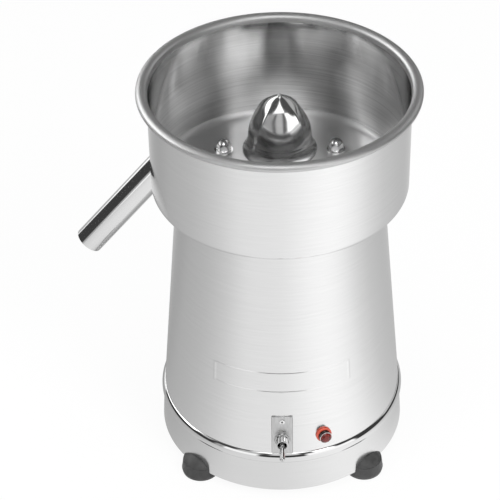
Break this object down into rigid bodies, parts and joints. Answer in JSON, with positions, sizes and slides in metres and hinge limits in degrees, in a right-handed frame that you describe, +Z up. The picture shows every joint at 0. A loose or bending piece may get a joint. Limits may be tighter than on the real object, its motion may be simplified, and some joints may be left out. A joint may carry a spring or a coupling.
{
  "type": "citrus press juicer",
  "caption": "Counter-top electric citrus juicer: deep round stainless bowl with a sloping spout tube and a fluted reamer, on a conical motor stand with rubber feet, a toggle switch and a lamp.",
  "frame": {"origin": "on the surface it stands on, at the centre of the circle of feet, on the motor's axis", "axes": "+Z up along the motor shaft, -Y to the front with the switch, -X towards the spout"},
  "size_m": [0.3333, 0.2818, 0.414],
  "materials": {
    "bowl_steel": "stainless sheet, polished outside and turned to a fine circular brushing inside",
    "body_steel": "stainless sheet, polished",
    "base_steel": "stainless sheet, polished, with a bright bead",
    "plate_steel": "nickel plated, lightly brushed",
    "chrome": "bright chrome",
    "reamer_metal": "polished casting",
    "zinc_steel": "zinc plated",
    "rubber": "moulded, matt dark grey",
    "black_plastic": "moulded phenolic",
    "red_flange": "glossy red",
    "red_lens": "faceted red lens",
    "brass": "plain stamped",
    "capacitor_case": "moulded case",
    "motor_casting": "die cast",
    "core_steel": "stacked laminations",
    "copper": "enamelled copper wire",
    "bearing_steel": "ground"
  },
  "bodies": {
    "stand": {"bowl": "bowl_steel", "bowl_collar": "bowl_steel", "spout_tube": "bowl_steel", "dome_nuts": "chrome", "dome_nut_washers": "chrome", "mounting_studs": "zinc_steel", "stud_nuts": "zinc_steel", "bowl_gasket": "rubber", "body_shell": "body_steel", "base_ring": "base_steel", "base_pillars": "zinc_steel", "base_screws": "zinc_steel", "bottom_cover": "zinc_steel", "cover_screws": "zinc_steel", "foot_front_left": "rubber", "foot_front_right": "rubber", "foot_rear_left": "rubber", "foot_rear_right": "rubber", "foot_bolts": "zinc_steel", "foot_nuts": "zinc_steel", "switch_plate": "plate_steel", "plate_rivets": "plate_steel", "toggle_body": "black_plastic", "toggle_bushing": "plate_steel", "toggle_washer": "plate_steel", "toggle_nut": "plate_steel", "toggle_terminals": "brass", "lamp_flange": "red_flange", "lamp_barrel": "chrome", "lamp_lens": "red_lens", "lamp_nut": "zinc_steel", "lamp_body": "black_plastic", "cord_grommet": "rubber", "capacitor": "capacitor_case", "capacitor_clamp": "zinc_steel", "capacitor_screw": "zinc_steel", "stator_core": "core_steel", "stator_windings": "copper", "top_bell": "motor_casting", "bottom_bell": "motor_casting", "through_bolts": "zinc_steel", "upper_bearing_outer": "bearing_steel", "lower_bearing_outer": "bearing_steel", "shaft_seal": "rubber"},
    "rotor": {"motor_shaft": "bearing_steel", "rotor_core": "core_steel", "cooling_fan": "black_plastic", "slinger": "rubber", "drive_pin": "zinc_steel", "upper_bearing_inner": "bearing_steel", "lower_bearing_inner": "bearing_steel"},
    "upper_balls": {"upper_bearing_balls": "bearing_steel", "upper_bearing_cage": "brass"},
    "lower_balls": {"lower_bearing_balls": "bearing_steel", "lower_bearing_cage": "brass"},
    "reamer": {"reamer": "reamer_metal"},
    "switch_lever": {"toggle_lever": "plate_steel"}
  },
  "joints": [
    {"name": "motor_spin", "type": "hinge", "parent": "stand", "child": "rotor", "pos_m": [0, 0, 0.22], "axis": [0, 0, 1], "continuous": true},
    {"name": "upper_balls_spin", "type": "hinge", "parent": "stand", "child": "upper_balls", "pos_m": [0, 0, 0.271], "axis": [0, 0, 1], "continuous": true},
    {"name": "lower_balls_spin", "type": "hinge", "parent": "stand", "child": "lower_balls", "pos_m": [0, 0, 0.181], "axis": [0, 0, 1], "continuous": true},
    {"name": "reamer_lift", "type": "slide", "parent": "rotor", "child": "reamer", "axis": [0, 0, 1], "range_m": [0, 0.08]},
    {"name": "toggle_tilt", "type": "hinge", "parent": "stand", "child": "switch_lever", "pos_m": [0, -0.12353, 0.07582], "axis": [-1, 0, 0], "range_deg": [0, 26]}
  ],
  "couplings": [
    {"joint": "upper_balls_spin", "follows": "motor_spin", "ratio": 0.3665},
    {"joint": "lower_balls_spin", "follows": "motor_spin", "ratio": 0.3665}
  ]
}
